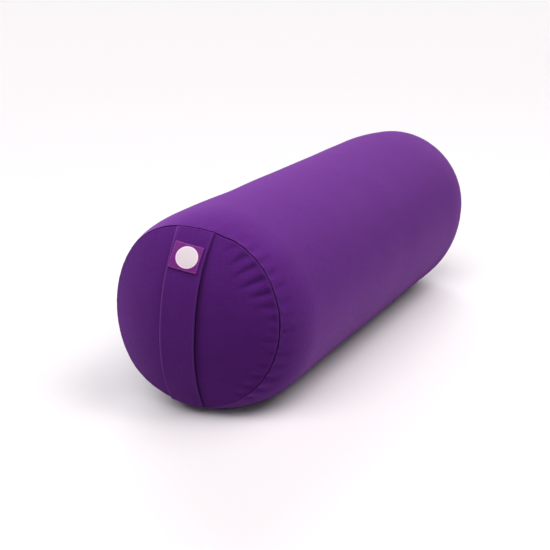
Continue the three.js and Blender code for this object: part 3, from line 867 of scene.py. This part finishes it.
def woven_label():
    """Damask label cloth of fine bright polyester thread, woven magenta with an off-white disc. The
    thread gives it a soft satin gloss and a rib across the label, and the disc has a narrow
    brighter border where its threads turn back."""
    material, tree = new_material("magenta_woven_polyester_label")
    place = add_node(tree, "ShaderNodeUVMap", {"uv_map": "flat_cloth"}).outputs["UV"]
    centred = add_node(tree, "ShaderNodeMapping", {"vector_type": "TEXTURE"}, {
        "Vector": place,
        "Location": (DISC_ASIDE, DISC_UP, 0.0),
        "Scale": (DISC_WIDTH / 2, DISC_HEIGHT / 2, 1.0),
    })
    away = add_node(tree, "ShaderNodeVectorMath", {"operation": "LENGTH"}, {0: centred.outputs[0]})
    edge = DISC_EDGE / DISC_WIDTH
    rim = DISC_RIM / DISC_WIDTH * 2
    outside = add_node(tree, "ShaderNodeMapRange", None, {
        "Value": away.outputs["Value"], "From Min": 1 - edge, "From Max": 1 + edge})
    on_rim = add_node(tree, "ShaderNodeMapRange", None, {
        "Value": away.outputs["Value"], "From Min": 1 - rim - edge, "From Max": 1 - rim + edge})
    thread = streaks(tree, place, LABEL_THREAD_LENGTH, LABEL_THREAD, 2.0)
    ground = add_node(tree, "ShaderNodeMix", {"data_type": "RGBA"}, {
        "Factor": thread, 6: hex_colour(LABEL_DARK), 7: hex_colour(LABEL_LIGHT)})
    disc = add_node(tree, "ShaderNodeMix", {"data_type": "RGBA"}, {
        "Factor": on_rim.outputs[0], 6: hex_colour(DISC_WHITE), 7: hex_colour(DISC_BORDER)})
    colour = add_node(tree, "ShaderNodeMix", {"data_type": "RGBA"}, {
        "Factor": outside.outputs[0], 6: disc.outputs[2], 7: ground.outputs[2]})
    rib = knuckles(tree, place, LABEL_THREAD)
    raised = weighted_sum(tree, [(rib, 0.4), (thread, 0.3), (outside.outputs[0], -0.8)])
    bump = add_node(tree, "ShaderNodeBump", None, {
        "Strength": 0.7, "Distance": LABEL_RELIEF * MM, "Height": raised})
    bsdf = add_node(tree, "ShaderNodeBsdfPrincipled", None, {
        "Base Color": colour.outputs[2],
        "Roughness": 0.55,
        "Specular IOR Level": 0.2,
        "Normal": bump.outputs[0],
    })
    add_node(tree, "ShaderNodeOutputMaterial", None, {"Surface": bsdf.outputs[0]})
    return material


def sewing_thread():
    """Spun polyester sewing thread, dyed a lighter magenta than the label. Its twist breaks up its
    slight gloss."""
    material, tree = new_material("magenta_polyester_sewing_thread")
    place = add_node(tree, "ShaderNodeTexCoord").outputs["Object"]
    twist = add_node(tree, "ShaderNodeTexNoise", None, {
        "Vector": place, "Scale": 1 / (STITCH_THREAD * MM), "Detail": 1.0})
    colour = add_node(tree, "ShaderNodeMix", {"data_type": "RGBA"}, {
        "Factor": twist.outputs["Fac"], 6: hex_colour(THREAD_DARK), 7: hex_colour(THREAD_LIGHT)})
    bsdf = add_node(tree, "ShaderNodeBsdfPrincipled", None, {
        "Base Color": colour.outputs[2],
        "Roughness": 0.5,
        "Specular IOR Level": 0.2,
    })
    add_node(tree, "ShaderNodeOutputMaterial", None, {"Surface": bsdf.outputs[0]})
    return material


def paper_floor():
    """Matt pale studio paper, without any pattern."""
    material, tree = new_material("pale_matt_studio_paper")
    bsdf = add_node(tree, "ShaderNodeBsdfPrincipled", None, {
        "Base Color": hex_colour(FLOOR_PAPER),
        "Roughness": 0.9,
        "Specular IOR Level": 0.0,
    })
    add_node(tree, "ShaderNodeOutputMaterial", None, {"Surface": bsdf.outputs[0]})
    return material


def dress(piece, material, slot, *nodes):
    """Gives a piece its material, its body and the solids that it stands for; slot is not used."""
    piece.data.materials.append(material)
    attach(piece, "root")
    if nodes:
        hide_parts(*nodes)


def direction(azimuth, elevation):
    """The way to a camera or a light. Azimuth 0 is on the -Y side, and turns towards +X."""
    a, e = math.radians(azimuth), math.radians(elevation)
    return Vector((math.sin(a) * math.cos(e), -math.cos(a) * math.cos(e), math.sin(e)))


def make_camera():
    """The photo's camera: on the line at AZIMUTH and ELEVATION, moved aside and down without
    turning, so that the object sits in the frame as it does in the photo."""
    a = math.radians(AZIMUTH)
    back = direction(AZIMUTH, ELEVATION)
    right = Vector((math.cos(a), math.sin(a), 0.0))
    up = back.cross(right)
    data = bpy.data.cameras.new("photo_camera")
    data.sensor_width = SENSOR
    data.lens = FOCAL * SENSOR / PHOTO_SIDE
    data.clip_start = 0.05
    data.clip_end = 100.0
    camera = bpy.data.objects.new("photo_camera", data)
    bpy.context.scene.collection.objects.link(camera)
    place = (Vector(TARGET) + back * DISTANCE - right * ASIDE - up * DOWN) * MM
    turned = Matrix((right, up, back)).transposed().to_4x4()
    camera.matrix_world = Matrix.Translation(place) @ turned
    bpy.context.scene.camera = camera


def make_floor():
    """A wide pale floor just under the bolster."""
    mesh = bpy.data.meshes.new("studio_floor")
    sides = [(-1, -1), (1, -1), (1, 1), (-1, 1)]
    corners = [(x * FLOOR_HALF, y * FLOOR_HALF, -FLOOR_DROP) for x, y in sides]
    mesh.from_pydata(corners, [], [(0, 1, 2, 3)])
    floor = bpy.data.objects.new("studio_floor", mesh)
    floor.data.materials.append(paper_floor())
    bpy.context.scene.collection.objects.link(floor)
    return floor


def lit_wall():
    """Studio wall so evenly lit that it shows one pale tone."""
    material, tree = new_material("pale_evenly_lit_wall")
    glow = add_node(tree, "ShaderNodeEmission", None, {
        "Color": hex_colour(WALL_TONE), "Strength": 1.0})
    add_node(tree, "ShaderNodeOutputMaterial", None, {"Surface": glow.outputs[0]})
    return material


def make_wall():
    """A round pale wall far behind the bolster, seen only when the camera is low: a circle carried
    straight up. It sends no light to anything and keeps none off."""
    turn = np.linspace(0, 2 * np.pi, WALL_STEPS, endpoint=False)
    foot = np.stack([WALL_RADIUS * np.cos(turn), WALL_RADIUS * np.sin(turn), 0 * turn], axis=1)
    points = np.concatenate([foot, foot + (0.0, 0.0, WALL_HEIGHT)])
    faces = quads_between(2, WALL_STEPS, WALL_STEPS)[:, ::-1]
    mesh = bpy.data.meshes.new("studio_wall")
    mesh.from_pydata(points.tolist(), [], faces.tolist())
    mesh.materials.append(lit_wall())
    wall = bpy.data.objects.new("studio_wall", mesh)
    for light_path in ("diffuse", "glossy", "transmission", "volume_scatter", "shadow"):
        setattr(wall, "visible_" + light_path, False)
    bpy.context.scene.collection.objects.link(wall)


def lit_group(name, pieces):
    """A collection of the pieces that a light falls on."""
    group = bpy.data.collections.new(name)
    for piece in pieces:
        group.objects.link(piece)
    return group


def add_lamp(light, kind, data_values, distance, falls_on):
    """Puts a light in one direction from the bolster's near half, facing it."""
    name = light["on"] + "_lit_from_" + light["side"]
    data = bpy.data.lights.new(name, kind)
    for key, value in data_values.items():
        setattr(data, key, value)
    lamp = bpy.data.objects.new(name, data)
    towards = direction(light["azimuth"], light["elevation"])
    lamp.rotation_euler = towards.to_track_quat("Z", "Y").to_euler()
    lamp.location = Vector(LIT_PLACE) * MM + towards * distance
    lamp.light_linking.receiver_collection = falls_on[light["on"]]
    lamp.visible_camera = False
    bpy.context.scene.collection.objects.link(lamp)


def make_light(pieces, floor):
    """Plain soft studio light: wide far lights from behind and from both sides, which leave the
    handle's end in shade, large round lamps close by, and lights on the floor that whiten it and
    keep its shadow short."""
    falls_on = {"bolster": lit_group("lit_pieces", pieces),
                "floor": lit_group("lit_floor", [floor])}
    for light in FAR_LIGHTS:
        values = {"angle": math.radians(FAR_LIGHT_SPREAD), "energy": light["strength"]}
        add_lamp(light, "SUN", values, 0.0, falls_on)
    for light in NEAR_LAMPS:
        values = {"shape": "DISK", "size": NEAR_LAMP_SIZE, "energy": light["watts"],
                  "color": hex_colour(light.get("tint", "#FFFFFF"))[:3]}
        add_lamp(light, "AREA", values, NEAR_LAMP_DISTANCE, falls_on)
    world = bpy.data.worlds.new("studio")
    world.use_nodes = True
    bpy.context.scene.world = world
    background = world.node_tree.nodes["Background"]
    background.inputs["Color"].default_value = (1.0, 1.0, 1.0, 1.0)
    background.inputs["Strength"].default_value = ROOM_LIGHT
    bpy.context.scene.view_settings.view_transform = "Standard"


make_camera()

cover_cloth = cotton_canvas()
label_cloth = woven_label()

tube = filled_cover()
handle_panel = end_panel("cover_panel_handle_side", HANDLE_END)
plain_panel = end_panel("cover_panel_plain_side", PLAIN_END)
handle = carry_handle()
label = label_patch()
stitches = label_stitches()

dress(tube, cover_cloth, "cover_cloth", "filled_tube")
dress(handle_panel, cover_cloth, "cover_cloth", "end_panel_handle_side")
dress(plain_panel, cover_cloth, "cover_cloth", "end_panel_plain_side")
dress(handle, cover_cloth, "handle_cloth", "carry_handle")
dress(label, label_cloth, "label_cloth", "handle_label")
dress(stitches, sewing_thread(), "label_cloth")

make_light([tube, handle_panel, plain_panel, handle, label, stitches], make_floor())
make_wall()
